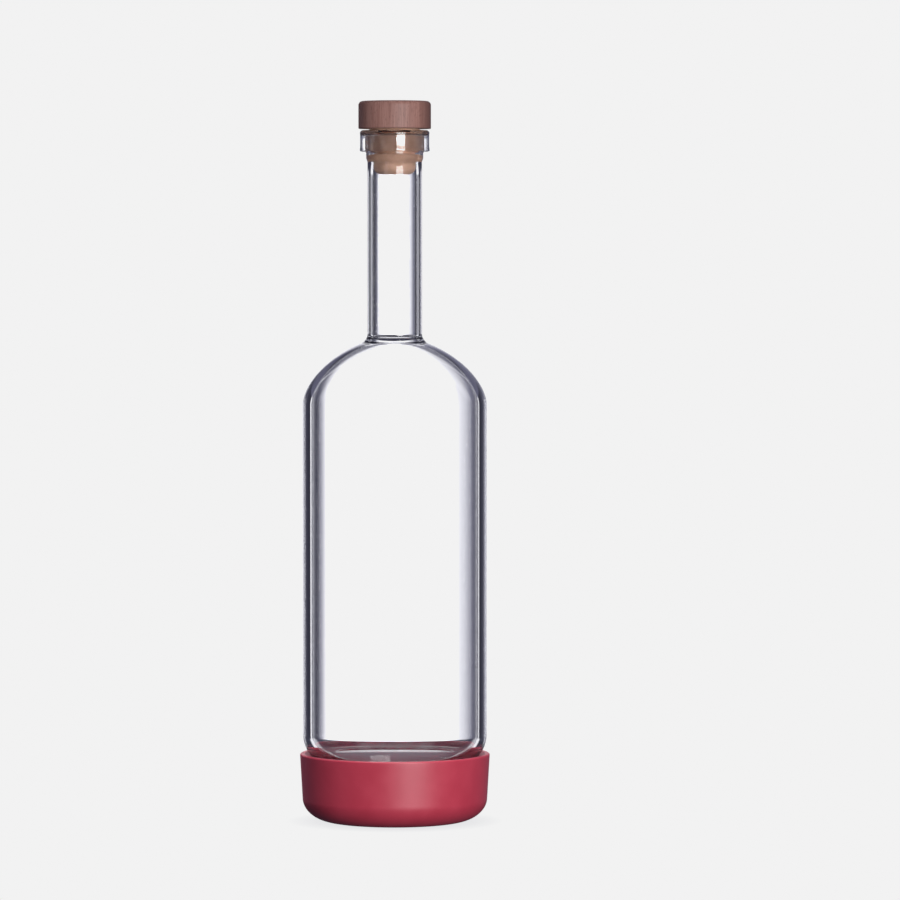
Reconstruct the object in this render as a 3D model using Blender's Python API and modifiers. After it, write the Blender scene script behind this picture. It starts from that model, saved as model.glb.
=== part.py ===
"""Infusion bottle: a clear blown glass bottle with a long neck and a folded drip lip. It stands in a soft
red cup-shaped base and is closed by a tan plug under a turned wooden disc.

Metres, +Z up. The origin is the middle of the base's flat underside. Every piece is turned about the Z axis:
its section is a line of (radius, height) points that runs down its outer side, and a Screw modifier turns it.
"""

import math

import bpy

SEGMENTS = 48  # facets round every turned piece
FIT_GAP = 0.0003  # between pieces that touch
WIDE_TURN = math.radians(15)  # of each facet round a large corner
SMALL_TURN = math.radians(30)  # of each facet round a small one

# Base: a thick puck with a flared recess that holds the bottle's bottom
BASE_HEIGHT = 0.0259
BASE_RIM_R = 0.0362
BASE_WAIST_R = 0.0352  # where the side meets the rounded lower corner
BASE_CORNER_WIDTH = 0.012
BASE_CORNER_HEIGHT = 0.009
BASE_CORNER_FACETS = 7
BASE_RIM_ROUNDING = 0.0005
BASE_LAND = 0.0012  # flat top of the rim
RECESS_FACETS = 5

# Glass body
BODY_R = 0.0350
BODY_WALL = 0.0031
GLASS_BOTTOM_Z = 0.0205
FLOOR_THICKNESS = 0.0035
BODY_CORNER_R = 0.0126

# Glass shoulder: a superellipse round the axis, from the straight body up to the neck
SHOULDER_Z = 0.1590
SHOULDER_RISE = 0.0261
SHOULDER_POWER = 1.7
SHOULDER_WALL = 0.0018  # at the top, thinner than the body
SHOULDER_FACETS = 9

# Glass neck and mouth
NECK_R = 0.01035
NECK_WALL = 0.00175
NECK_FOOT_ROUNDING = 0.0038
NECK_FOOT_INNER_ROUNDING = 0.0022
NECK_FOOT_WIDTH = 0.0024  # how far out the rounding meets the shoulder
MOUTH_R = 0.01085
MOUTH_BORE_R = 0.0095
MOUTH_BORE_FOOT_Z = 0.2507
MOUTH_BORE_TAPER = 0.0015
MOUTH_FOOT_Z = 0.2524
MOUTH_FOOT_TAPER = 0.0030

# Glass lip: the mouth's edge turned outwards and down, with a skirt that stands off the mouth
LIP_TOP_Z = 0.2629
LIP_R = 0.0133
LIP_INNER_ROUNDING = 0.0012
LIP_OUTER_ROUNDING = 0.0016
LIP_ARCH_FACETS = 4
SKIRT_R = 0.01305
SKIRT_THICKNESS = 0.00076
SKIRT_TOP_Z = 0.2608
SKIRT_BOTTOM_Z = 0.2549
SKIRT_FOOT_R = 0.01328
SKIRT_FOOT_HEIGHT = 0.0008
SKIRT_FOOT_ROUNDING = 0.00025

# Wooden disc
CAP_R = 0.01377
CAP_BOTTOM_Z = 0.2635
CAP_HEIGHT = 0.0105
CAP_TOP_ROUNDING = 0.0016
CAP_BOTTOM_ROUNDING = 0.0003

# Plug: two rings with a groove between them and a rounded nose
PLUG_R = 0.0092
PLUG_TAPER_TOP_Z = 0.2512
PLUG_TAPER_BOTTOM_Z = 0.2489
PLUG_NARROW_R = 0.0081
PLUG_BOTTOM_Z = 0.2460
PLUG_NOSE_R = 0.0079
PLUG_NOSE_ROUNDING = 0.0022
GROOVE_Z = 0.2549
GROOVE_WIDTH = 0.0009
GROOVE_DEPTH = 0.0007

CAP_TOP_Z = CAP_BOTTOM_Z + CAP_HEIGHT
BODY_BORE_R = BODY_R - BODY_WALL
NECK_BORE_R = NECK_R - NECK_WALL
FLOOR_Z = GLASS_BOTTOM_Z + FLOOR_THICKNESS
SKIRT_INNER_R = SKIRT_R - SKIRT_THICKNESS


def clear_scene():
    """Removes what the file opens with."""
    for item in list(bpy.data.objects):
        bpy.data.objects.remove(item, do_unlink=True)


def arc(centre, width, height, first, last, facets):
    """Points along an ellipse of these half axes about a (radius, height) centre, between two angles."""
    points = []
    for k in range(facets + 1):
        angle = first + (last - first) * k / facets
        points.append((centre[0] + width * math.cos(angle), centre[1] + height * math.sin(angle)))
    return points


def rounded(corners, turn=SMALL_TURN):
    """Section points through (radius, height, rounding) corners. A corner with a rounding becomes an arc
    that touches both of its sides, in facets of about the given turn."""
    points = []
    for i, (x, z, rounding) in enumerate(corners):
        if not rounding:
            points.append((x, z))
            continue
        before = math.atan2(corners[i - 1][1] - z, corners[i - 1][0] - x)
        after = math.atan2(corners[i + 1][1] - z, corners[i + 1][0] - x)
        opening = (after - before + math.pi) % (2 * math.pi) - math.pi
        middle = before + opening / 2
        reach = rounding / math.sin(abs(opening) / 2)
        centre = (x + reach * math.cos(middle), z + reach * math.sin(middle))
        first = before - math.copysign(math.pi / 2, opening)
        sweep = math.copysign(math.pi, opening) - opening
        facets = max(2, math.ceil(abs(sweep) / turn))
        points += arc(centre, rounding, rounding, first, first - sweep, facets)
    return points


def shoulder(side_r, rise, start_r):
    """Points down a superellipse, from start_r near the neck to the straight side at SHOULDER_Z."""
    power = 2 / SHOULDER_POWER
    first = math.asin((start_r / side_r) ** (1 / power))
    points = []
    for k in range(SHOULDER_FACETS):
        angle = first + (math.pi / 2 - first) * k / SHOULDER_FACETS
        points.append(
            (side_r * math.sin(angle) ** power, SHOULDER_Z + rise * math.cos(angle) ** power)
        )
    return points + [(side_r, SHOULDER_Z)]


def neck_foot(neck_r, line, rounding):
    """The rounded corner between the neck's side and the shoulder line, without the points it shares."""
    (x0, z0), (x1, z1) = line[:2]
    corner_z = z0 + (neck_r - x0) * (z1 - z0) / (x1 - x0)
    above = (neck_r, CAP_TOP_Z, 0)
    return rounded([above, (neck_r, corner_z, rounding), (x0, z0, 0)], WIDE_TURN)[1:-1]


def material(name, colour, roughness):
    made = bpy.data.materials.new(name)
    made.use_nodes = True
    shader = made.node_tree.nodes["Principled BSDF"]
    shader.inputs["Base Color"].default_value = (*colour, 1.0)
    shader.inputs["Roughness"].default_value = roughness
    shader.inputs["Metallic"].default_value = 0.0
    return made


def turned(name, section, finish, collection):
    """An object whose section is turned once about the Z axis. The section starts and ends on the axis."""
    mesh = bpy.data.meshes.new(name)
    edges = [(i, i + 1) for i in range(len(section) - 1)]
    mesh.from_pydata([(x, 0.0, z) for x, z in section], edges, [])
    mesh.materials.append(finish)
    piece = bpy.data.objects.new(name, mesh)
    collection.objects.link(piece)
    turn = piece.modifiers.new("Turn", "SCREW")
    turn.axis = "Z"
    turn.steps = SEGMENTS
    turn.render_steps = SEGMENTS
    turn.use_merge_vertices = True
    turn.merge_threshold = 0.00001
    turn.use_smooth_shade = True
    piece.modifiers.new("Flat faces shade flat", "WEIGHTED_NORMAL")
    return piece


def make_base(collection):
    """The red cup: upright sides, a wide rounded lower corner, and a recess that follows the bottle's
    bottom at the fit gap and then flares straight out to the rim."""
    centre = (BODY_R - BODY_CORNER_R, GLASS_BOTTOM_Z + BODY_CORNER_R)
    recess_r = BODY_CORNER_R + FIT_GAP
    rim_edge_r = BASE_RIM_R - BASE_RIM_ROUNDING - BASE_LAND
    # The flare is the tangent from the rim's inner edge to the recess's round corner.
    across, up = rim_edge_r - centre[0], BASE_HEIGHT - centre[1]
    flare_angle = math.atan2(up, across) - math.acos(recess_r / math.hypot(across, up))
    recess = arc(centre, recess_r, recess_r, -math.pi / 2, flare_angle, RECESS_FACETS)
    rim = rounded(
        [
            (*recess[-1], 0),
            (rim_edge_r, BASE_HEIGHT, BASE_RIM_ROUNDING),
            (BASE_RIM_R, BASE_HEIGHT, BASE_RIM_ROUNDING),
            (BASE_WAIST_R, BASE_CORNER_HEIGHT, 0),
        ]
    )
    corner_centre = (BASE_WAIST_R - BASE_CORNER_WIDTH, BASE_CORNER_HEIGHT)
    corner = arc(
        corner_centre, BASE_CORNER_WIDTH, BASE_CORNER_HEIGHT, 0, -math.pi / 2, BASE_CORNER_FACETS
    )
    section = [(0.0, GLASS_BOTTOM_Z - FIT_GAP)] + recess[:-1] + rim[:-1] + corner + [(0.0, 0.0)]
    finish = material("Red silicone", (0.36, 0.026, 0.045), 0.38)
    return turned("base_cup", section, finish, collection)


def make_glass(collection):
    """The bottle: one glass wall, from the floor inside, up to the lip and down the outside."""
    inside = shoulder(BODY_BORE_R, SHOULDER_RISE - SHOULDER_WALL, NECK_BORE_R + NECK_FOOT_WIDTH)
    inner = rounded(
        [(0.0, FLOOR_Z, 0), (BODY_BORE_R, FLOOR_Z, BODY_CORNER_R - BODY_WALL), (*inside[-1], 0)],
        WIDE_TURN,
    )
    inner += inside[-2::-1] + neck_foot(NECK_BORE_R, inside, NECK_FOOT_INNER_ROUNDING)[::-1]
    mouth = rounded(
        [
            (NECK_BORE_R, MOUTH_BORE_FOOT_Z - MOUTH_BORE_TAPER, 0),
            (MOUTH_BORE_R, MOUTH_BORE_FOOT_Z, 0),
            (MOUTH_BORE_R, LIP_TOP_Z, LIP_INNER_ROUNDING),
            (LIP_R, LIP_TOP_Z, LIP_OUTER_ROUNDING),
            (SKIRT_R, SKIRT_TOP_Z, 0),
            (SKIRT_R, SKIRT_BOTTOM_Z + 2 * SKIRT_FOOT_HEIGHT, 0),
            (SKIRT_FOOT_R, SKIRT_BOTTOM_Z + SKIRT_FOOT_HEIGHT, 0),
            (SKIRT_FOOT_R, SKIRT_BOTTOM_Z, SKIRT_FOOT_ROUNDING),
            (SKIRT_INNER_R, SKIRT_BOTTOM_Z, SKIRT_FOOT_ROUNDING),
            (SKIRT_INNER_R, SKIRT_TOP_Z, 0),
        ]
    )
    # Under the lip, a half circle joins the skirt's inner face to the mouth's outer one.
    arch_r = (SKIRT_INNER_R - MOUTH_R) / 2
    mouth += arc((MOUTH_R + arch_r, SKIRT_TOP_Z), arch_r, arch_r, 0, math.pi, LIP_ARCH_FACETS)[1:]
    mouth += [(MOUTH_R, MOUTH_FOOT_Z), (NECK_R, MOUTH_FOOT_Z - MOUTH_FOOT_TAPER)]
    outside = shoulder(BODY_R, SHOULDER_RISE, NECK_R + NECK_FOOT_WIDTH)
    outer = neck_foot(NECK_R, outside, NECK_FOOT_ROUNDING) + outside[:-1]
    outer += rounded(
        [(*outside[-1], 0), (BODY_R, GLASS_BOTTOM_Z, BODY_CORNER_R), (0.0, GLASS_BOTTOM_Z, 0)],
        WIDE_TURN,
    )
    finish = material("Borosilicate glass", (0.90, 0.91, 0.95), 0.02)
    return turned("glass_bottle", inner + mouth + outer, finish, collection)


def make_plug(collection):
    """The tan plug: an upper ring, a groove, a lower ring, and a nose that tapers into the neck."""
    section = rounded(
        [
            (0.0, CAP_BOTTOM_Z - FIT_GAP, 0),
            (PLUG_R, CAP_BOTTOM_Z - FIT_GAP, 0),
            (PLUG_R, GROOVE_Z + GROOVE_WIDTH, 0),
            (PLUG_R - GROOVE_DEPTH, GROOVE_Z + GROOVE_WIDTH / 2, 0),
            (PLUG_R - GROOVE_DEPTH, GROOVE_Z - GROOVE_WIDTH / 2, 0),
            (PLUG_R, GROOVE_Z - GROOVE_WIDTH, 0),
            (PLUG_R, PLUG_TAPER_TOP_Z, 0),
            (PLUG_NARROW_R, PLUG_TAPER_BOTTOM_Z, 0),
            (PLUG_NOSE_R, PLUG_BOTTOM_Z, PLUG_NOSE_ROUNDING),
            (0.0, PLUG_BOTTOM_Z, 0),
        ]
    )
    finish = material("Tan stopper rubber", (0.36, 0.23, 0.18), 0.5)
    return turned("stopper_plug", section, finish, collection)


def make_cap(collection):
    """The wooden disc: flat faces, a softened top edge and a nearly sharp lower one."""
    section = rounded(
        [
            (0.0, CAP_TOP_Z, 0),
            (CAP_R, CAP_TOP_Z, CAP_TOP_ROUNDING),
            (CAP_R, CAP_BOTTOM_Z, CAP_BOTTOM_ROUNDING),
            (0.0, CAP_BOTTOM_Z, 0),
        ],
        WIDE_TURN,
    )
    finish = material("Turned beech", (0.30, 0.19, 0.16), 0.55)
    return turned("cap_disc", section, finish, collection)


def main():
    clear_scene()
    collection = bpy.data.collections.new("Infusion bottle")
    bpy.context.scene.collection.children.link(collection)
    for make in (make_base, make_glass, make_plug, make_cap):
        make(collection)


main()
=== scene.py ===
"""Looks of the infusion bottle: a clear glass bottle in a satin red silicone cup, with a tan rubber
plug under a turned beech disc.

Metres, +Z up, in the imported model's own frame. Every piece is turned about the Z axis: its section
is an array of (radius, height) points that is carried round the axis. The sections follow the solids
that they stand for, with true arcs in place of facets. The walls of the glass are matched a little
closer to the lines that they draw in the light, and what presses on glass reaches just into it.
"""

import math

import bpy
import numpy as np
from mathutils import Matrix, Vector


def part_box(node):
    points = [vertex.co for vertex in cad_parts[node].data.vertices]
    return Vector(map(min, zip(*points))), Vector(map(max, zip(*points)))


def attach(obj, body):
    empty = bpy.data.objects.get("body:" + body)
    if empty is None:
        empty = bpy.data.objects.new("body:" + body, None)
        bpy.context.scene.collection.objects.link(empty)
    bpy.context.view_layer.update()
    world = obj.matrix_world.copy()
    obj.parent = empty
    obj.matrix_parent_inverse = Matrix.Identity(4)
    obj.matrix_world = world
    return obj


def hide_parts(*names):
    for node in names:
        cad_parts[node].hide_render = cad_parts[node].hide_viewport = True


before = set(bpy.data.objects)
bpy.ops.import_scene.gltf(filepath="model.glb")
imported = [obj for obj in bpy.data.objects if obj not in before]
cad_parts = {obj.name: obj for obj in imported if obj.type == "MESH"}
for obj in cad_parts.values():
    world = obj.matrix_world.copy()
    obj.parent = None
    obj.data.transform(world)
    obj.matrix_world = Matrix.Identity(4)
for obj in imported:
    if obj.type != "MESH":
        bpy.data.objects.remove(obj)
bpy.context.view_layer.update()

MM = 0.001

# Heights and radii read from the frame
BASE_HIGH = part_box("base_cup")[1]
GLASS_LOW, GLASS_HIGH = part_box("glass_bottle")
PLUG_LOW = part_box("stopper_plug")[0]
CAP_LOW, CAP_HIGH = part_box("cap_disc")

AROUND = 240  # points round every turned surface
ARC_TURN = math.radians(5)  # of one step round an arc

# Longest steps along the straight stretches of a section
GLASS_STEP = 8 * MM
CUP_STEP = 2 * MM
SMALL_STEP = 1 * MM

# How far silicone and rubber reach into the glass that they press on, so that no air gap shows
CONTACT = 0.02 * MM

# Base cup
BASE_RIM_R = 36.17 * MM
BASE_WAIST_R = 35.2 * MM
BASE_CORNER = (12 * MM, 9 * MM)  # half axes of the lower corner
BASE_RIM_ROUNDING = 0.6 * MM
BASE_LAND = 1.2 * MM  # the rim's flat top, between its roundings
SILICONE_RED = ("#c23a4e", "#ca4155")  # darker and lighter patches

# Glass: body and shoulder
BODY_R = GLASS_HIGH.x
BODY_WALL = 3.2 * MM
BODY_CORNER_R = 12.6 * MM
FLOOR_THICKNESS = 3.5 * MM
SHOULDER_Z = 159.0 * MM
SHOULDER_RISE = 26.1 * MM
SHOULDER_POWER = 1.7
SHOULDER_WALL = 1.8 * MM
SHOULDER_STEPS = 60

# Glass: neck and mouth
NECK_R = 10.35 * MM
NECK_WALL = 1.85 * MM
NECK_FOOT_ROUNDING = 3.8 * MM
NECK_FOOT_INNER_ROUNDING = 2.2 * MM
NECK_FOOT_WIDTH = 2.4 * MM
MOUTH_R = 10.85 * MM
MOUTH_UPPER_R = 11.25 * MM  # behind the skirt
MOUTH_STEP = 0.6 * MM
MOUTH_BORE_R = 9.5 * MM
MOUTH_BORE_FOOT_Z = 252.0 * MM
MOUTH_BORE_TAPER = 1.4 * MM
MOUTH_FOOT_Z = 252.3 * MM
MOUTH_FOOT_TAPER = 1.4 * MM

# Glass: folded lip and drip skirt
LIP_TOP_Z = GLASS_HIGH.z
LIP_R = 13.3 * MM
LIP_FLARE = 1.5 * MM  # the bore flares over this height
LIP_FLARE_BEND = (0.55, 0.45)  # shares of it outwards and below the top, where the flare bends
LIP_FLARE_END = 0.96  # share of it outwards at the top
LIP_INNER_ROUNDING = 0.15 * MM
LIP_OUTER_ROUNDING = 1.0 * MM
SKIRT_R = 13.15 * MM
SKIRT_THICKNESS = 0.48 * MM
SKIRT_TOP_Z = 260.8 * MM
SKIRT_BOTTOM_Z = 254.9 * MM
SKIRT_FOOT_R = 13.28 * MM
SKIRT_FOOT_HEIGHT = 0.8 * MM
SKIRT_FOOT_ROUNDING = 0.25 * MM

GLASS_BOTTOM_Z = GLASS_LOW.z
BODY_BORE_R = BODY_R - BODY_WALL
NECK_BORE_R = NECK_R - NECK_WALL
FLOOR_Z = GLASS_BOTTOM_Z + FLOOR_THICKNESS
SKIRT_INNER_R = SKIRT_R - SKIRT_THICKNESS

# Plug
PLUG_R = 9.5 * MM + CONTACT  # pressed into the mouth's bore
PLUG_EDGE = 0.25 * MM  # rounding of its rings
PLUG_HEAD_R = 9.6 * MM  # the thin flange over the lip
NECKING = 4.0 * MM  # depth of the shadowed step under the flange
PLUG_CORE_R = PLUG_R - NECKING
PLUG_RING_TOP_Z = 261.2 * MM
PLUG_CONTACT_R = PLUG_R - MOUTH_BORE_TAPER / 3  # where it leaves the glass, half-way down the taper
PLUG_NOSE_R = 8.1 * MM
PLUG_NOSE_TOP_Z = MOUTH_BORE_FOOT_Z - 1.2 * MOUTH_BORE_TAPER
PLUG_NOSE_ROUNDING = 3.0 * MM
GROOVE_Z = 254.6 * MM
GROOVE_WIDTH = 0.8 * MM
GROOVE_DEPTH = 1.8 * MM
PLUG_TAN = ("#d8aa90", "#e6bca2")  # darker and lighter clouds
# painted near-black shade for the slot under the flange, where the necking lies
PLUG_SLOT_SHADE = "#1c1612"

# Disc: the tree's heart lies to its right, and one ring is one year
CAP_R = CAP_HIGH.x
CAP_TOP_ROUNDING = 1.6 * MM
CAP_BOTTOM_ROUNDING = 0.3 * MM
TO_HEART = (-38 * MM, 0.0, 0.0)  # the shift that takes the heart to the Z axis
RIGHT_SIDE_SHADE = (24.5 * MM, 31.5 * MM)  # distances from the heart between which a painted shade on the disc's +X side fades out
DARKER_TOWARDS_FACES = (4.6 * MM, 5.25 * MM)  # heights off the disc's middle between which it turns darker, towards its top and bottom faces
RING_WIDTH = 2.6 * MM
BEECH_PALE = "#b98c81"
BEECH_DARK = "#986b60"
BEECH_FLECK_AND_SHADE = "#6d4b43"

# View: a long lens at the neck's height, looking very slightly down
CAMERA_PLACE = (0.0, -2.0, 215.7 * MM)
CAMERA_AIM = (21.0 * MM, 0.0, 141.5 * MM)
SENSOR_WIDTH = 36.0  # in mm, as Blender counts a lens
FRAME_WIDTH = 342.4 * MM  # what the picture's width shows at the bottle
BACKDROP_GREY = "#f2f2f2"
CONTACT_SHADE = "#e4e4e6"
CONTACT_REACH = 9 * MM
CONTACT_SAMPLES = 16
FLOOR_REACH = 60.0

# The studio's light round the bottle, as (degrees of compass to the right of straight behind it,
# brightness). A white panel stands straight behind and fades out to both sides. It sets how wide the
# grey edges of the glass are. Bright strips at 40 degrees draw the thin line where the wall's inner
# face turns away, panels at the sides light the outermost edge, and dark boards stand between.
EYE_LEVEL = (
    (-103, 0.02),
    (-97, 1.2),
    (-88, 1.2),
    (-84, 0.3),
    (-56, 0.02),
    (-48.5, 0.5),
    (-41.5, 0.05),
    (-41, 1.5),
    (-39.3, 1.5),
    (-38.8, 0.02),
    (-20, 0.02),
    (-13, 0.06),
    (-10.5, 0.3),
    (-9.5, 0.6),
    (-8, 1.1),
    (-6.5, 1.45),
    (4, 1.45),
    (6, 1.0),
    (8.5, 0.75),
    (11.2, 0.38),
    (13.2, 0.2),
    (21, 0.02),
    (38, 0.02),
    (38.6, 1.2),
    (40.5, 1.2),
    (41.5, 0.05),
    (48.5, 0.5),
    (56, 0.02),
    (84, 0.3),
    (88, 0.8),
    (97, 0.8),
    (103, 0.02),
)
# Low down, where views from above look through the glass, a white panel stands at each diagonal
LOW_DOWN = tuple(
    (middle + across, light)
    for middle in (-135, -45, 45, 135)
    for across, light in ((-12, 0.04), (-9, 1.1), (9, 1.1), (12, 0.04))
)
# What the surfaces mirror: the panel behind and a dim room
MIRRORED = ((-45, 0.12), (-14, 0.1), (-8, 1.1), (5, 1.1), (12, 0.2), (45, 0.12))

# Elevations in degrees, from the start to the end of a change
PANEL_TOP = (40.0, 50.0)
PANEL_FOOT = (-9.0, -11.0)  # where the low panels take over
BOARD_FOOT = (3.5, 5.0)  # a thin grey board hangs before the panels, which dims the glass floor
BOARD_TOP = (15.0, 20.0)
BOARD = 0.8  # share of their light that it takes

OVERHEAD = 0.15
UNDERFOOT = 0.04
FILL = 0.05
VEIL = 0.5  # share of extra blue, which is full from the next brightness on
VEIL_FULL = 0.15

# Blender's names of the nodes that are used most, and the numbers of a colour mix's sockets
NOISE = "ShaderNodeTexNoise"
RANGE = "ShaderNodeMapRange"
MIX = "ShaderNodeMix"
MATHS = "ShaderNodeMath"
FACTOR, FIRST, SECOND = 0, 6, 7
MIXED = 2
NOISE_SPAN = {"From Min": 0.3, "From Max": 0.7}  # the range that noise mostly fills
ALL_CHANNELS = 3  # the curve that works on red, green and blue at once


def linear(hex_colour):
    """The linear RGBA colour of an sRGB hex value."""
    srgb = np.array([int(hex_colour[i : i + 2], 16) for i in (1, 3, 5)]) / 255
    light = np.where(srgb <= 0.04045, srgb / 12.92, ((srgb + 0.055) / 1.055) ** 2.4)
    return (*light.tolist(), 1.0)


def add(tree, kind, inputs=None, out=None, **settings):
    """Adds a node with its settings. An input given as a socket is linked to it, and one given as a
    value is set to it. Gives back the node, or the output that is asked for."""
    made = tree.nodes.new(kind)
    for key, value in settings.items():
        setattr(made, key, value)
    for key, value in (inputs or {}).items():
        if isinstance(value, bpy.types.NodeSocket):
            tree.links.new(value, made.inputs[key])
        else:
            made.inputs[key].default_value = value
    return made if out is None else made.outputs[out]


def new_material(name):
    """A material with an empty tree but for its output, that tree, and the places on the surface."""
    made = bpy.data.materials.new(name)
    made.use_nodes = True
    tree = made.node_tree
    tree.nodes.clear()
    add(tree, "ShaderNodeOutputMaterial")
    return made, tree, add(tree, "ShaderNodeTexCoord", out="Object")


def end_material(tree, height, strength, depth, finish):
    """The height pattern raises the surface by the depth, and finish holds the other inputs."""
    bump = {"Height": height, "Strength": strength, "Distance": depth}
    relief = add(tree, "ShaderNodeBump", bump, "Normal")
    surface = add(tree, "ShaderNodeBsdfPrincipled", {**finish, "Normal": relief}, "BSDF")
    tree.links.new(surface, tree.nodes["Material Output"].inputs["Surface"])


def laid_over(tree, colour, layers):
    """Lays the colour of each (share, colour) layer over what lies below it."""
    for share, laid in layers:
        both = {FACTOR: share, FIRST: colour, SECOND: laid}
        colour = add(tree, MIX, both, MIXED, data_type="RGBA")
    return colour


def arc(centre, radii, first, last):
    """Points along an ellipse about the centre: centre + (a cos t, b sin t), from first to last."""
    angle = np.linspace(first, last, max(3, math.ceil(abs(last - first) / ARC_TURN)) + 1)
    return np.array(centre) + np.array(radii) * np.stack([np.cos(angle), np.sin(angle)], axis=1)


def rounded(corners):
    """Section through (radius, height, rounding) corners. A rounding turns a corner into the arc that
    touches both of its sides: its centre lies rounding / sin(half the opening) along the middle
    line."""
    parts = []
    for i, (x, z, rounding) in enumerate(corners):
        if not rounding:
            parts.append(np.array([[x, z]]))
            continue
        before = math.atan2(corners[i - 1][1] - z, corners[i - 1][0] - x)
        after = math.atan2(corners[i + 1][1] - z, corners[i + 1][0] - x)
        opening = (after - before + math.pi) % (2 * math.pi) - math.pi
        middle = before + opening / 2
        reach = rounding / math.sin(abs(opening) / 2)
        centre = (x + reach * math.cos(middle), z + reach * math.sin(middle))
        first = before - math.copysign(math.pi / 2, opening)
        sweep = math.copysign(math.pi, opening) - opening
        parts.append(arc(centre, (rounding, rounding), first, first - sweep))
    return np.vstack(parts)


def shoulder(side_r, rise, start_r):
    """Down a superellipse (r / side)^p + (z / rise)^p = 1, from radius start_r to the straight
    side."""
    power = 2 / SHOULDER_POWER
    first = math.asin((start_r / side_r) ** (1 / power))
    angle = np.linspace(first, math.pi / 2, SHOULDER_STEPS)
    radius = side_r * np.sin(angle) ** power
    height = SHOULDER_Z + rise * np.clip(np.cos(angle), 0, 1) ** power
    return np.stack([radius, height], axis=1)


def neck_foot(neck_r, line, rounding):
    """The rounded corner between the neck's side and the shoulder line's first step."""
    (x0, z0), (x1, z1) = line[:2]
    corner_z = z0 + (neck_r - x0) * (z1 - z0) / (x1 - x0)
    return rounded([(neck_r, CAP_HIGH.z, 0), (neck_r, corner_z, rounding), (x0, z0, 0)])[1:-1]


def stepped(section, longest):
    """The section with each straight stretch cut into equal steps no longer than the longest."""
    stretch = np.diff(section, axis=0)
    count = np.maximum(1, np.ceil(np.hypot(*stretch.T) / longest)).astype(int)
    start = np.repeat(np.arange(len(stretch)), count)
    share = (np.arange(count.sum()) - np.repeat(np.cumsum(count) - count, count)) / count[start]
    return np.vstack([section[start] + stretch[start] * share[:, None], section[-1:]])


def turned(name, section, material):
    """Carries each section point (r, z) round the axis: (r cos a, r sin a, z). The first and last
    points lie on the axis and are the poles. The section runs down its outer side, so the faces
    point outwards."""
    angle = np.linspace(0, 2 * math.pi, AROUND, endpoint=False)
    ring = section[1:-1]
    across = ring[:, :1] * np.cos(angle)
    along = ring[:, :1] * np.sin(angle)
    height = np.broadcast_to(ring[:, 1:], across.shape)
    poles = [[0, 0, section[0, 1]], [0, 0, section[-1, 1]]]
    points = np.vstack([np.stack([across, along, height], axis=2).reshape(-1, 3), poles])

    here = np.arange(across.size).reshape(across.shape)
    beside = np.roll(here, -1, axis=1)
    first, last = np.full(AROUND, across.size), np.full(AROUND, across.size + 1)
    quads = np.stack([here[:-1], here[1:], beside[1:], beside[:-1]], axis=2).reshape(-1)
    fans = np.concatenate(
        [
            np.stack([first, here[0], beside[0]], axis=1).reshape(-1),
            np.stack([here[-1], last, beside[-1]], axis=1).reshape(-1),
        ]
    )
    sizes = np.concatenate([np.full(len(quads) // 4, 4), np.full(len(fans) // 3, 3)])
    mesh = bpy.data.meshes.new(name)
    mesh.vertices.add(len(points))
    mesh.vertices.foreach_set("co", points.astype(np.float32).ravel())
    mesh.loops.add(int(sizes.sum()))
    mesh.loops.foreach_set("vertex_index", np.concatenate([quads, fans]).astype(np.int32))
    mesh.polygons.add(len(sizes))
    mesh.polygons.foreach_set("loop_start", (np.cumsum(sizes) - sizes).astype(np.int32))
    mesh.update(calc_edges=True)
    mesh.validate()
    mesh.shade_smooth()
    mesh.materials.append(material)
    piece = bpy.data.objects.new(name, mesh)
    bpy.context.scene.collection.objects.link(piece)
    return piece


def base_section():
    """The cup: a recess that presses just into the bottle's corner, a tangent flare, a flat rim, a
    side that leans in a little, and an elliptical lower corner."""
    centre = (BODY_R - BODY_CORNER_R, GLASS_BOTTOM_Z + BODY_CORNER_R)
    recess_r = BODY_CORNER_R - CONTACT
    rim_edge_r = BASE_RIM_R - BASE_RIM_ROUNDING - BASE_LAND
    across, up = rim_edge_r - centre[0], BASE_HIGH.z - centre[1]
    flare_angle = math.atan2(up, across) - math.acos(recess_r / math.hypot(across, up))
    recess = arc(centre, (recess_r, recess_r), -math.pi / 2, flare_angle)
    rim = rounded(
        [
            (*recess[-1], 0),
            (rim_edge_r, BASE_HIGH.z, BASE_RIM_ROUNDING),
            (BASE_RIM_R, BASE_HIGH.z, BASE_RIM_ROUNDING),
            (BASE_WAIST_R, BASE_CORNER[1], 0),
        ]
    )
    corner_centre = (BASE_WAIST_R - BASE_CORNER[0], BASE_CORNER[1])
    corner = arc(corner_centre, BASE_CORNER, 0, -math.pi / 2)
    top = [[0.0, GLASS_BOTTOM_Z + CONTACT]]
    return stepped(np.vstack([top, recess[:-1], rim[:-1], corner, [[0.0, 0.0]]]), CUP_STEP)


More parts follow.
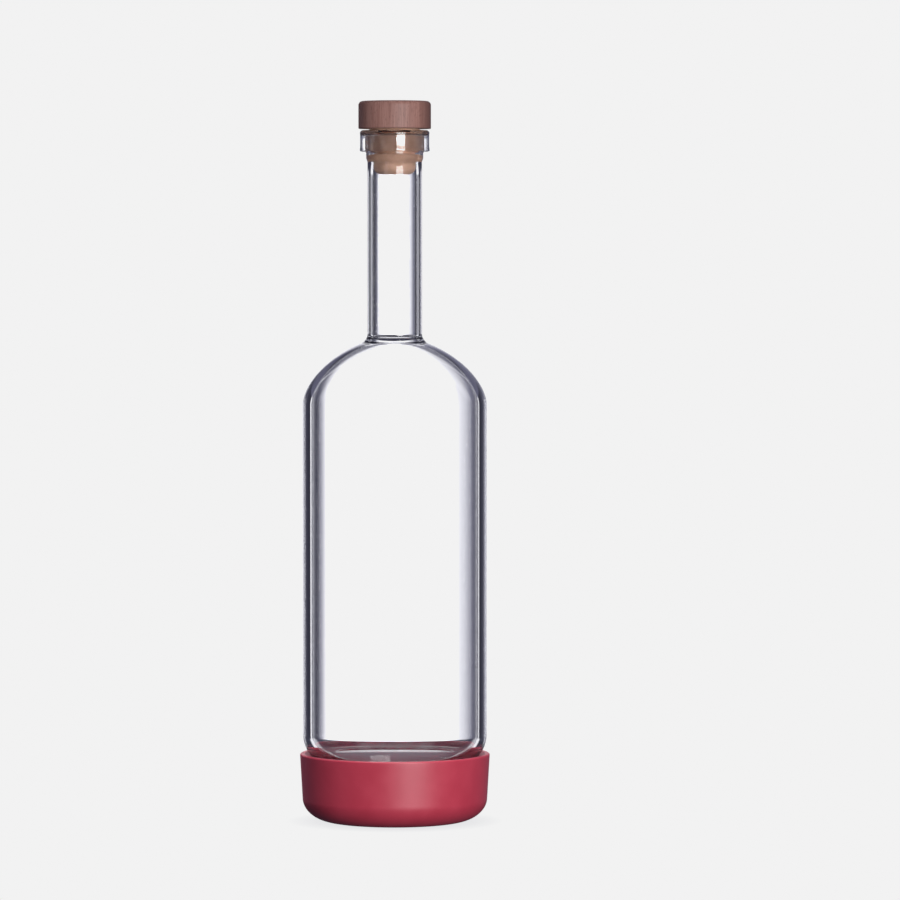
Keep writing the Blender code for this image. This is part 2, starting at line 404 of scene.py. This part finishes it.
def glass_section():
    """One wall of glass: the floor inside, the bore, over the folded lip and down the outside."""
    inside = shoulder(BODY_BORE_R, SHOULDER_RISE - SHOULDER_WALL, NECK_BORE_R + NECK_FOOT_WIDTH)
    inner_corner = (BODY_BORE_R, FLOOR_Z, BODY_CORNER_R - BODY_WALL)
    floor = rounded([(0.0, FLOOR_Z, 0), inner_corner, (*inside[-1], 0)])
    inner_foot = neck_foot(NECK_BORE_R, inside, NECK_FOOT_INNER_ROUNDING)[::-1]
    bend_out, bend_down = LIP_FLARE_BEND
    lip = rounded(
        [
            (NECK_BORE_R, MOUTH_BORE_FOOT_Z - MOUTH_BORE_TAPER, 0),
            (MOUTH_BORE_R, MOUTH_BORE_FOOT_Z, 0),
            (MOUTH_BORE_R, LIP_TOP_Z - LIP_FLARE, 0),
            (MOUTH_BORE_R + bend_out * LIP_FLARE, LIP_TOP_Z - bend_down * LIP_FLARE, 0),
            (MOUTH_BORE_R + LIP_FLARE_END * LIP_FLARE, LIP_TOP_Z, LIP_INNER_ROUNDING),
            (LIP_R, LIP_TOP_Z, LIP_OUTER_ROUNDING),
            (SKIRT_R, SKIRT_TOP_Z, 0),
            (SKIRT_R, SKIRT_BOTTOM_Z + 2 * SKIRT_FOOT_HEIGHT, 0),
            (SKIRT_FOOT_R, SKIRT_BOTTOM_Z + SKIRT_FOOT_HEIGHT, 0),
            (SKIRT_FOOT_R, SKIRT_BOTTOM_Z, SKIRT_FOOT_ROUNDING),
            (SKIRT_INNER_R, SKIRT_BOTTOM_Z, SKIRT_FOOT_ROUNDING),
            (SKIRT_INNER_R, SKIRT_TOP_Z, 0),
        ]
    )
    arch_r = (SKIRT_INNER_R - MOUTH_UPPER_R) / 2
    arch = arc((MOUTH_UPPER_R + arch_r, SKIRT_TOP_Z), (arch_r, arch_r), 0, math.pi)[1:]
    mouth_side = [
        [MOUTH_UPPER_R, SKIRT_BOTTOM_Z],
        [MOUTH_R, SKIRT_BOTTOM_Z - MOUTH_STEP],
        [MOUTH_R, MOUTH_FOOT_Z],
        [NECK_R, MOUTH_FOOT_Z - MOUTH_FOOT_TAPER],
    ]
    outside = shoulder(BODY_R, SHOULDER_RISE, NECK_R + NECK_FOOT_WIDTH)
    outer_corner = (BODY_R, GLASS_BOTTOM_Z, BODY_CORNER_R)
    bottom = rounded([(*outside[-1], 0), outer_corner, (0.0, GLASS_BOTTOM_Z, 0)])
    wall = [floor, inside[-2::-1], inner_foot, lip, arch, mouth_side]
    wall += [neck_foot(NECK_R, outside, NECK_FOOT_ROUNDING), outside[:-1], bottom]
    return stepped(np.vstack(wall), GLASS_STEP)


def plug_section():
    """A flange, a necking, two rings with a groove between them, then a taper into a rounded nose.
    Its top touches the disc."""
    corners = [
        (0.0, CAP_LOW.z, 0),
        (PLUG_HEAD_R, CAP_LOW.z, 0),
        (PLUG_HEAD_R, LIP_TOP_Z, 0),
        (PLUG_CORE_R, LIP_TOP_Z - PLUG_EDGE, 0),
        (PLUG_CORE_R, PLUG_RING_TOP_Z, 0),
        (PLUG_R, PLUG_RING_TOP_Z, PLUG_EDGE),
        (PLUG_R, GROOVE_Z + GROOVE_WIDTH, PLUG_EDGE),
        (PLUG_R - GROOVE_DEPTH, GROOVE_Z + GROOVE_WIDTH / 2, 0),
        (PLUG_R - GROOVE_DEPTH, GROOVE_Z - GROOVE_WIDTH / 2, 0),
        (PLUG_R, GROOVE_Z - GROOVE_WIDTH, PLUG_EDGE),
        (PLUG_R, MOUTH_BORE_FOOT_Z, 0),
        (PLUG_CONTACT_R, MOUTH_BORE_FOOT_Z - MOUTH_BORE_TAPER / 2, 0),
        (PLUG_NOSE_R, PLUG_NOSE_TOP_Z, 0),
        (PLUG_NOSE_R, PLUG_LOW.z, PLUG_NOSE_ROUNDING),
        (0.0, PLUG_LOW.z, 0),
    ]
    return stepped(rounded(corners), SMALL_STEP)


def cap_section():
    """A flat disc with a softened top edge and a nearly sharp lower one."""
    corners = [
        (0.0, CAP_HIGH.z, 0),
        (CAP_R, CAP_HIGH.z, CAP_TOP_ROUNDING),
        (CAP_R, CAP_LOW.z, CAP_BOTTOM_ROUNDING),
        (0.0, CAP_LOW.z, 0),
    ]
    return stepped(rounded(corners), SMALL_STEP)


def from_upright(tree, place, shift):
    """Distance of each place from an upright line. The shift takes that line to the Z axis."""
    flat = {"Vector": place, "Location": shift, "Scale": (1, 1, 0)}
    across = add(tree, "ShaderNodeMapping", flat, "Vector")
    return add(tree, "ShaderNodeVectorMath", {0: across}, "Value", operation="LENGTH")


def along_fibres(tree, place, width, detail, squash):
    """A pattern of the given width that is drawn out upwards, by 1 / squash."""
    drawn = add(tree, "ShaderNodeMapping", {"Vector": place, "Scale": (1, 1, squash)}, "Vector")
    return add(tree, NOISE, {"Vector": drawn, "Scale": 1 / width, "Detail": detail}, "Fac")


def borosilicate_glass():
    """Blown and fire-polished: clear and sharp, dark only where it bends the view to the dark sides.
    Blowing leaves very shallow waves, 30 mm across, which make its lines a little uneven."""
    made, tree, place = new_material("Fire-polished borosilicate glass")
    waves = add(tree, NOISE, {"Vector": place, "Scale": 1 / (30 * MM), "Detail": 1.0}, "Fac")
    finish = {
        "Base Color": (1.0, 1.0, 1.0, 1.0),
        "Roughness": 0.0,
        "IOR": 1.473,
        "Transmission Weight": 1.0,
    }
    end_material(tree, waves, 0.1, 0.02 * MM, finish)
    return made


def red_silicone():
    """Silicone pressed in a spark-eroded steel mould. The skin is satin with a grain of a third of a
    millimetre, which spreads the highlight. Handling and dust leave it a little duller in soft
    patches."""
    made, tree, place = new_material("Moulded red silicone")
    grain = add(tree, NOISE, {"Vector": place, "Scale": 1 / (0.35 * MM), "Detail": 3.0}, "Fac")
    patches = add(tree, NOISE, {"Vector": place, "Scale": 1 / (9 * MM), "Detail": 2.0}, "Fac")
    paler = add(tree, RANGE, {"Value": patches, **NOISE_SPAN}, "Result")
    darker_red, paler_red = map(linear, SILICONE_RED)
    duller = {"Value": patches, **NOISE_SPAN, "To Min": 0.4, "To Max": 0.46}
    finish = {
        "Base Color": laid_over(tree, darker_red, [(paler, paler_red)]),
        "Roughness": add(tree, RANGE, duller, "Result"),
        "IOR": 1.43,
        "Specular IOR Level": 1.0,
    }
    end_material(tree, grain, 0.5, 0.03 * MM, finish)
    return made


def tan_rubber():
    """Stopper rubber, pressed in a polished mould: filled with pale clay that shows as faint clouds,
    with a dull skin. Its gloss is weak, because close contact with the glass takes the shine away.
    The deep necking at its top is painted a near-black shade, so it reads as a dark slot."""
    made, tree, place = new_material("Moulded tan stopper rubber")
    clouds = add(tree, NOISE, {"Vector": place, "Scale": 1 / (2.5 * MM), "Detail": 3.0}, "Fac")
    grain = add(tree, NOISE, {"Vector": place, "Scale": 1 / (0.2 * MM), "Detail": 2.0}, "Fac")
    paler = add(tree, RANGE, {"Value": clouds, **NOISE_SPAN}, "Result")
    darker_tan, paler_tan = map(linear, PLUG_TAN)
    skin = laid_over(tree, darker_tan, [(paler, paler_tan)])

    # Painted shade: inside the necking's radius and above the ring, the tan skin gives way to
    # near-black
    off_waist = {
        "Value": from_upright(tree, place, (0.0, 0.0, 0.0)),
        "From Min": PLUG_CORE_R,
        "From Max": PLUG_CORE_R + SMALL_STEP,
    }
    below_ring_top = {
        "Value": add(tree, "ShaderNodeSeparateXYZ", {"Vector": place}, "Z"),
        "From Min": PLUG_RING_TOP_Z - SMALL_STEP,
        "From Max": PLUG_RING_TOP_Z,
        "To Min": 1.0,
        "To Max": 0.0,
    }
    outside_slot_parts = {
        0: add(tree, RANGE, off_waist, "Result"),
        1: add(tree, RANGE, below_ring_top, "Result"),
    }
    outside_slot_shade = add(tree, MATHS, outside_slot_parts, "Value", operation="MAXIMUM")
    duller = {"Value": clouds, **NOISE_SPAN, "To Min": 0.5, "To Max": 0.62}
    finish = {
        "Base Color": laid_over(tree, linear(PLUG_SLOT_SHADE), [(outside_slot_shade, skin)]),
        "Roughness": add(tree, RANGE, duller, "Result"),
        "IOR": 1.52,
        "Specular IOR Level": 0.1,
    }
    end_material(tree, grain, 0.3, 0.02 * MM, finish)
    return made


def turned_beech():
    """Beech turned with its fibres upright, then oiled. The side shows fine upright fibres and short
    dark flecks where rays are cut, and a painted shade darkens it towards the heart, on its +X side.
    It is darker towards its top and bottom faces. The top shows end grain: growth rings about a heart
    outside the disc."""
    made, tree, place = new_material("Turned and oiled beech")
    fibres = along_fibres(tree, place, 0.5 * MM, 3.0, 0.04)
    flecks = along_fibres(tree, place, 0.35 * MM, 1.0, 0.25)
    drift = along_fibres(tree, place, 12 * MM, 1.0, 0.2)
    from_heart = from_upright(tree, place, TO_HEART)
    wandering = {0: drift, 1: 2 * RING_WIDTH, 2: from_heart}
    bent = add(tree, MATHS, wandering, "Value", operation="MULTIPLY_ADD")
    years = {0: bent, 1: 2 * math.pi / RING_WIDTH}
    phase = add(tree, MATHS, years, "Value", operation="MULTIPLY")
    rings = add(tree, MATHS, {0: phase}, "Value", operation="SINE")
    height = add(tree, "ShaderNodeSeparateXYZ", {"Vector": place}, "Z")
    to_middle = {0: height, 1: (CAP_HIGH.z + CAP_LOW.z) / 2}
    from_middle = add(tree, MATHS, to_middle, "Value", operation="SUBTRACT")
    off_middle = add(tree, MATHS, {0: from_middle}, "Value", operation="ABSOLUTE")

    # Each layer is laid over the last: where it starts and is full, how much, and in which colour
    layers = []
    for pattern, start, full, least, most, laid in (
        (fibres, 0.3, 0.7, 0.0, 1.0, BEECH_PALE),
        (rings, 0.2, 1.0, 0.0, 0.35, BEECH_DARK),
        (flecks, 0.62, 0.72, 0.0, 0.6, BEECH_FLECK_AND_SHADE),
        # painted shade: darker towards the heart, on the disc's +X side
        (from_heart, *RIGHT_SIDE_SHADE, 1.0, 0.0, BEECH_FLECK_AND_SHADE),
        (off_middle, *DARKER_TOWARDS_FACES, 0.0, 0.5, BEECH_FLECK_AND_SHADE),
    ):
        span = {"From Min": start, "From Max": full, "To Min": least, "To Max": most}
        layers.append((add(tree, RANGE, {"Value": pattern, **span}, "Result"), linear(laid)))

    duller = {"Value": fibres, **NOISE_SPAN, "To Min": 0.5, "To Max": 0.62}
    finish = {
        "Base Color": laid_over(tree, linear(BEECH_DARK), layers),
        "Roughness": add(tree, RANGE, duller, "Result"),
        "Diffuse Roughness": 0.2,
        "IOR": 1.5,
    }
    end_material(tree, fibres, 0.5, 0.05 * MM, finish)
    return made


def make_pieces():
    """Each piece stands in for its CAD node, which is hidden, and gets its finish from its own
    material.
    """
    for name, section, material, node, slot in (
        ("silicone_cup", base_section, red_silicone, "base_cup", "base_silicone"),
        ("bottle_glass", glass_section, borosilicate_glass, "glass_bottle", "glass"),
        ("rubber_plug", plug_section, tan_rubber, "stopper_plug", "plug_rubber"),
        ("beech_disc", cap_section, turned_beech, "cap_disc", "cap_wood"),
    ):
        piece = turned(name, section(), material())
        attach(piece, "root")
        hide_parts(node)


def make_camera():
    camera = bpy.data.cameras.new("Camera")
    holder = bpy.data.objects.new("Camera", camera)
    bpy.context.scene.collection.objects.link(holder)
    bpy.context.scene.camera = holder
    away = Vector(CAMERA_AIM) - Vector(CAMERA_PLACE)
    camera.sensor_width = SENSOR_WIDTH
    camera.lens = SENSOR_WIDTH * away.length / FRAME_WIDTH
    holder.location = CAMERA_PLACE
    holder.rotation_euler = away.to_track_quat("-Z", "Y").to_euler()


def studio_light(brightness):
    """Grey light with a little more blue, which shows most in the dark parts."""
    return (brightness, brightness, brightness + VEIL * min(brightness, VEIL_FULL), 1.0)


def light_ring(tree, compass, levels):
    """The light round the compass, as a ramp over the full circle from -180 to 180 degrees."""
    turn = {"Value": compass, "From Min": -math.pi, "From Max": math.pi}
    place = add(tree, RANGE, turn, "Result")
    ring = add(tree, "ShaderNodeValToRGB", {"Fac": place})
    stops = ring.color_ramp.elements
    stops.remove(stops[1])
    for i, (degrees, brightness) in enumerate(levels):
        position = (degrees + 180) / 360
        stop = stops[0] if i == 0 else stops.new(position)
        stop.position = position
        stop.color = studio_light(brightness)
    return ring.outputs["Color"]


def faded(tree, height, start, full, first=0.0, last=1.0):
    """From first to last as the direction's elevation goes from start to full, in degrees."""
    span = {
        "Value": height,
        "From Min": math.sin(math.radians(start)),
        "From Max": math.sin(math.radians(full)),
        "To Min": first,
        "To Max": last,
    }
    return add(tree, RANGE, span, "Result", interpolation_type="SMOOTHSTEP")


def make_world():
    """Four worlds in one, by the kind of ray. The camera sees the white backdrop. Through the glass
    stand the panels and dark boards, at eye level and low down. Reflections show the panel behind
    and a dim room. All else gets a weak fill, so the lamps shape the solid pieces."""
    world = bpy.data.worlds.new("Studio")
    bpy.context.scene.world = world
    world.use_nodes = True
    tree = world.node_tree
    tree.nodes.clear()
    direction = add(tree, "ShaderNodeTexCoord", out="Generated")
    parts = add(tree, "ShaderNodeSeparateXYZ", {"Vector": direction}).outputs
    up = parts["Z"]
    compass = add(tree, MATHS, {0: parts["X"], 1: parts["Y"]}, "Value", operation="ARCTAN2")
    high = faded(tree, up, *PANEL_TOP)
    low = faded(tree, up, *PANEL_FOOT)
    shares = {0: faded(tree, up, *BOARD_FOOT), 1: faded(tree, up, *BOARD_TOP, BOARD, 0.0)}
    board = add(tree, MATHS, shares, "Value", operation="MULTIPLY")
    overhead, underfoot = studio_light(OVERHEAD), studio_light(UNDERFOOT)
    eye_level, low_down, mirrored = (
        light_ring(tree, compass, levels) for levels in (EYE_LEVEL, LOW_DOWN, MIRRORED)
    )
    bent = laid_over(tree, eye_level, [(board, overhead), (high, overhead), (low, low_down)])
    room = laid_over(tree, mirrored, [(high, overhead), (low, underfoot)])
    path = add(tree, "ShaderNodeLightPath").outputs
    by_ray = [
        (path["Is Glossy Ray"], room),
        (path["Is Transmission Ray"], bent),
        (path["Is Camera Ray"], linear(BACKDROP_GREY)),
    ]
    colour = laid_over(tree, studio_light(FILL), by_ray)
    light = add(tree, "ShaderNodeBackground", {"Color": colour, "Strength": 1.0}, "Background")
    add(tree, "ShaderNodeOutputWorld", {"Surface": light})


def softbox(name, compass, elevation, distance, size, radiance, glossy=True, through=True):
    """An area light that faces the bottle's middle. The compass angle is to the right of the
    camera's side. Its power is the radiance times pi times its area. Glossy lamps show in
    reflections, and through ones through the glass."""
    lamp = bpy.data.lights.new(name, "AREA")
    lamp.shape = "RECTANGLE"
    lamp.size, lamp.size_y = size
    lamp.energy = radiance * math.pi * size[0] * size[1]
    holder = bpy.data.objects.new(name, lamp)
    angle, rise = math.radians(compass), math.radians(elevation)
    level = math.cos(rise)
    away = Vector((math.sin(angle) * level, -math.cos(angle) * level, math.sin(rise)))
    holder.location = away * distance + Vector((0, 0, CAP_HIGH.z / 2))
    holder.rotation_euler = (-away).to_track_quat("-Z", "Y").to_euler()
    holder.visible_camera = False
    holder.visible_glossy = glossy
    holder.visible_transmission = through
    bpy.context.scene.collection.objects.link(holder)
    return holder


def make_lamps():
    """A key light that gives the long highlight, a light on the cup's rim alone, and two fills."""
    softbox("Key", compass=21, elevation=3, distance=1.2, size=(0.62, 0.5), radiance=12.0)
    rim = softbox(
        "Rim light",
        compass=0,
        elevation=78,
        distance=1.5,
        size=(1.2, 0.4),
        radiance=12.0,
        through=False,
    )
    lit = bpy.data.collections.new("Lit by the rim light")
    lit.objects.link(bpy.data.objects["silicone_cup"])
    rim.light_linking.receiver_collection = lit
    softbox(
        "Top fill",
        compass=180,
        elevation=75,
        distance=1.5,
        size=(1.0, 1.0),
        radiance=1.6,
        glossy=False,
    )
    softbox(
        "Back fill",
        compass=-155,
        elevation=10,
        distance=1.5,
        size=(0.8, 0.8),
        radiance=6.0,
        glossy=False,
        through=False,
    )


def make_floor():
    """A floor that only the camera sees, as bright as the backdrop, with a soft contact shade."""
    made, tree, _ = new_material("Pale studio floor")
    reach = {"Distance": CONTACT_REACH}
    open_to_light = add(tree, "ShaderNodeAmbientOcclusion", reach, "AO", samples=CONTACT_SAMPLES)
    bare = linear(BACKDROP_GREY)
    colour = laid_over(tree, linear(CONTACT_SHADE), [(open_to_light, bare)])
    glow = add(tree, "ShaderNodeEmission", {"Color": colour, "Strength": 1.0}, "Emission")
    tree.links.new(glow, tree.nodes["Material Output"].inputs["Surface"])
    made.cycles.emission_sampling = "NONE"  # it lights nothing
    mesh = bpy.data.meshes.new("Floor")
    corners = np.array([[-1, -1, 0], [1, -1, 0], [1, 1, 0], [-1, 1, 0]]) * FLOOR_REACH
    mesh.from_pydata(corners.tolist(), [], [(0, 1, 2, 3)])
    mesh.materials.append(made)
    floor = bpy.data.objects.new("Floor", mesh)
    bpy.context.scene.collection.objects.link(floor)
    floor.visible_diffuse = False
    floor.visible_glossy = False
    floor.visible_transmission = False
    floor.visible_shadow = False


def clip_whites(view):
    """The picture's white is the backdrop's grey, as in an over-exposed backdrop: nothing comes out
    brighter."""
    view.use_curve_mapping = True
    mapping = view.curve_mapping
    white = linear(BACKDROP_GREY)[0]
    mapping.extend = "HORIZONTAL"
    curve = mapping.curves[ALL_CHANNELS]
    curve.points[0].location = (0.0, 0.0)
    curve.points[1].location = (white, white)
    curve.points.new(1.0, white)
    for point in curve.points:
        point.handle_type = "VECTOR"
    mapping.update()


def main():
    scene = bpy.context.scene
    scene.view_settings.view_transform = "Standard"
    clip_whites(scene.view_settings)
    make_camera()
    make_pieces()
    make_world()
    make_floor()
    make_lamps()
    bpy.context.view_layer.update()


main()
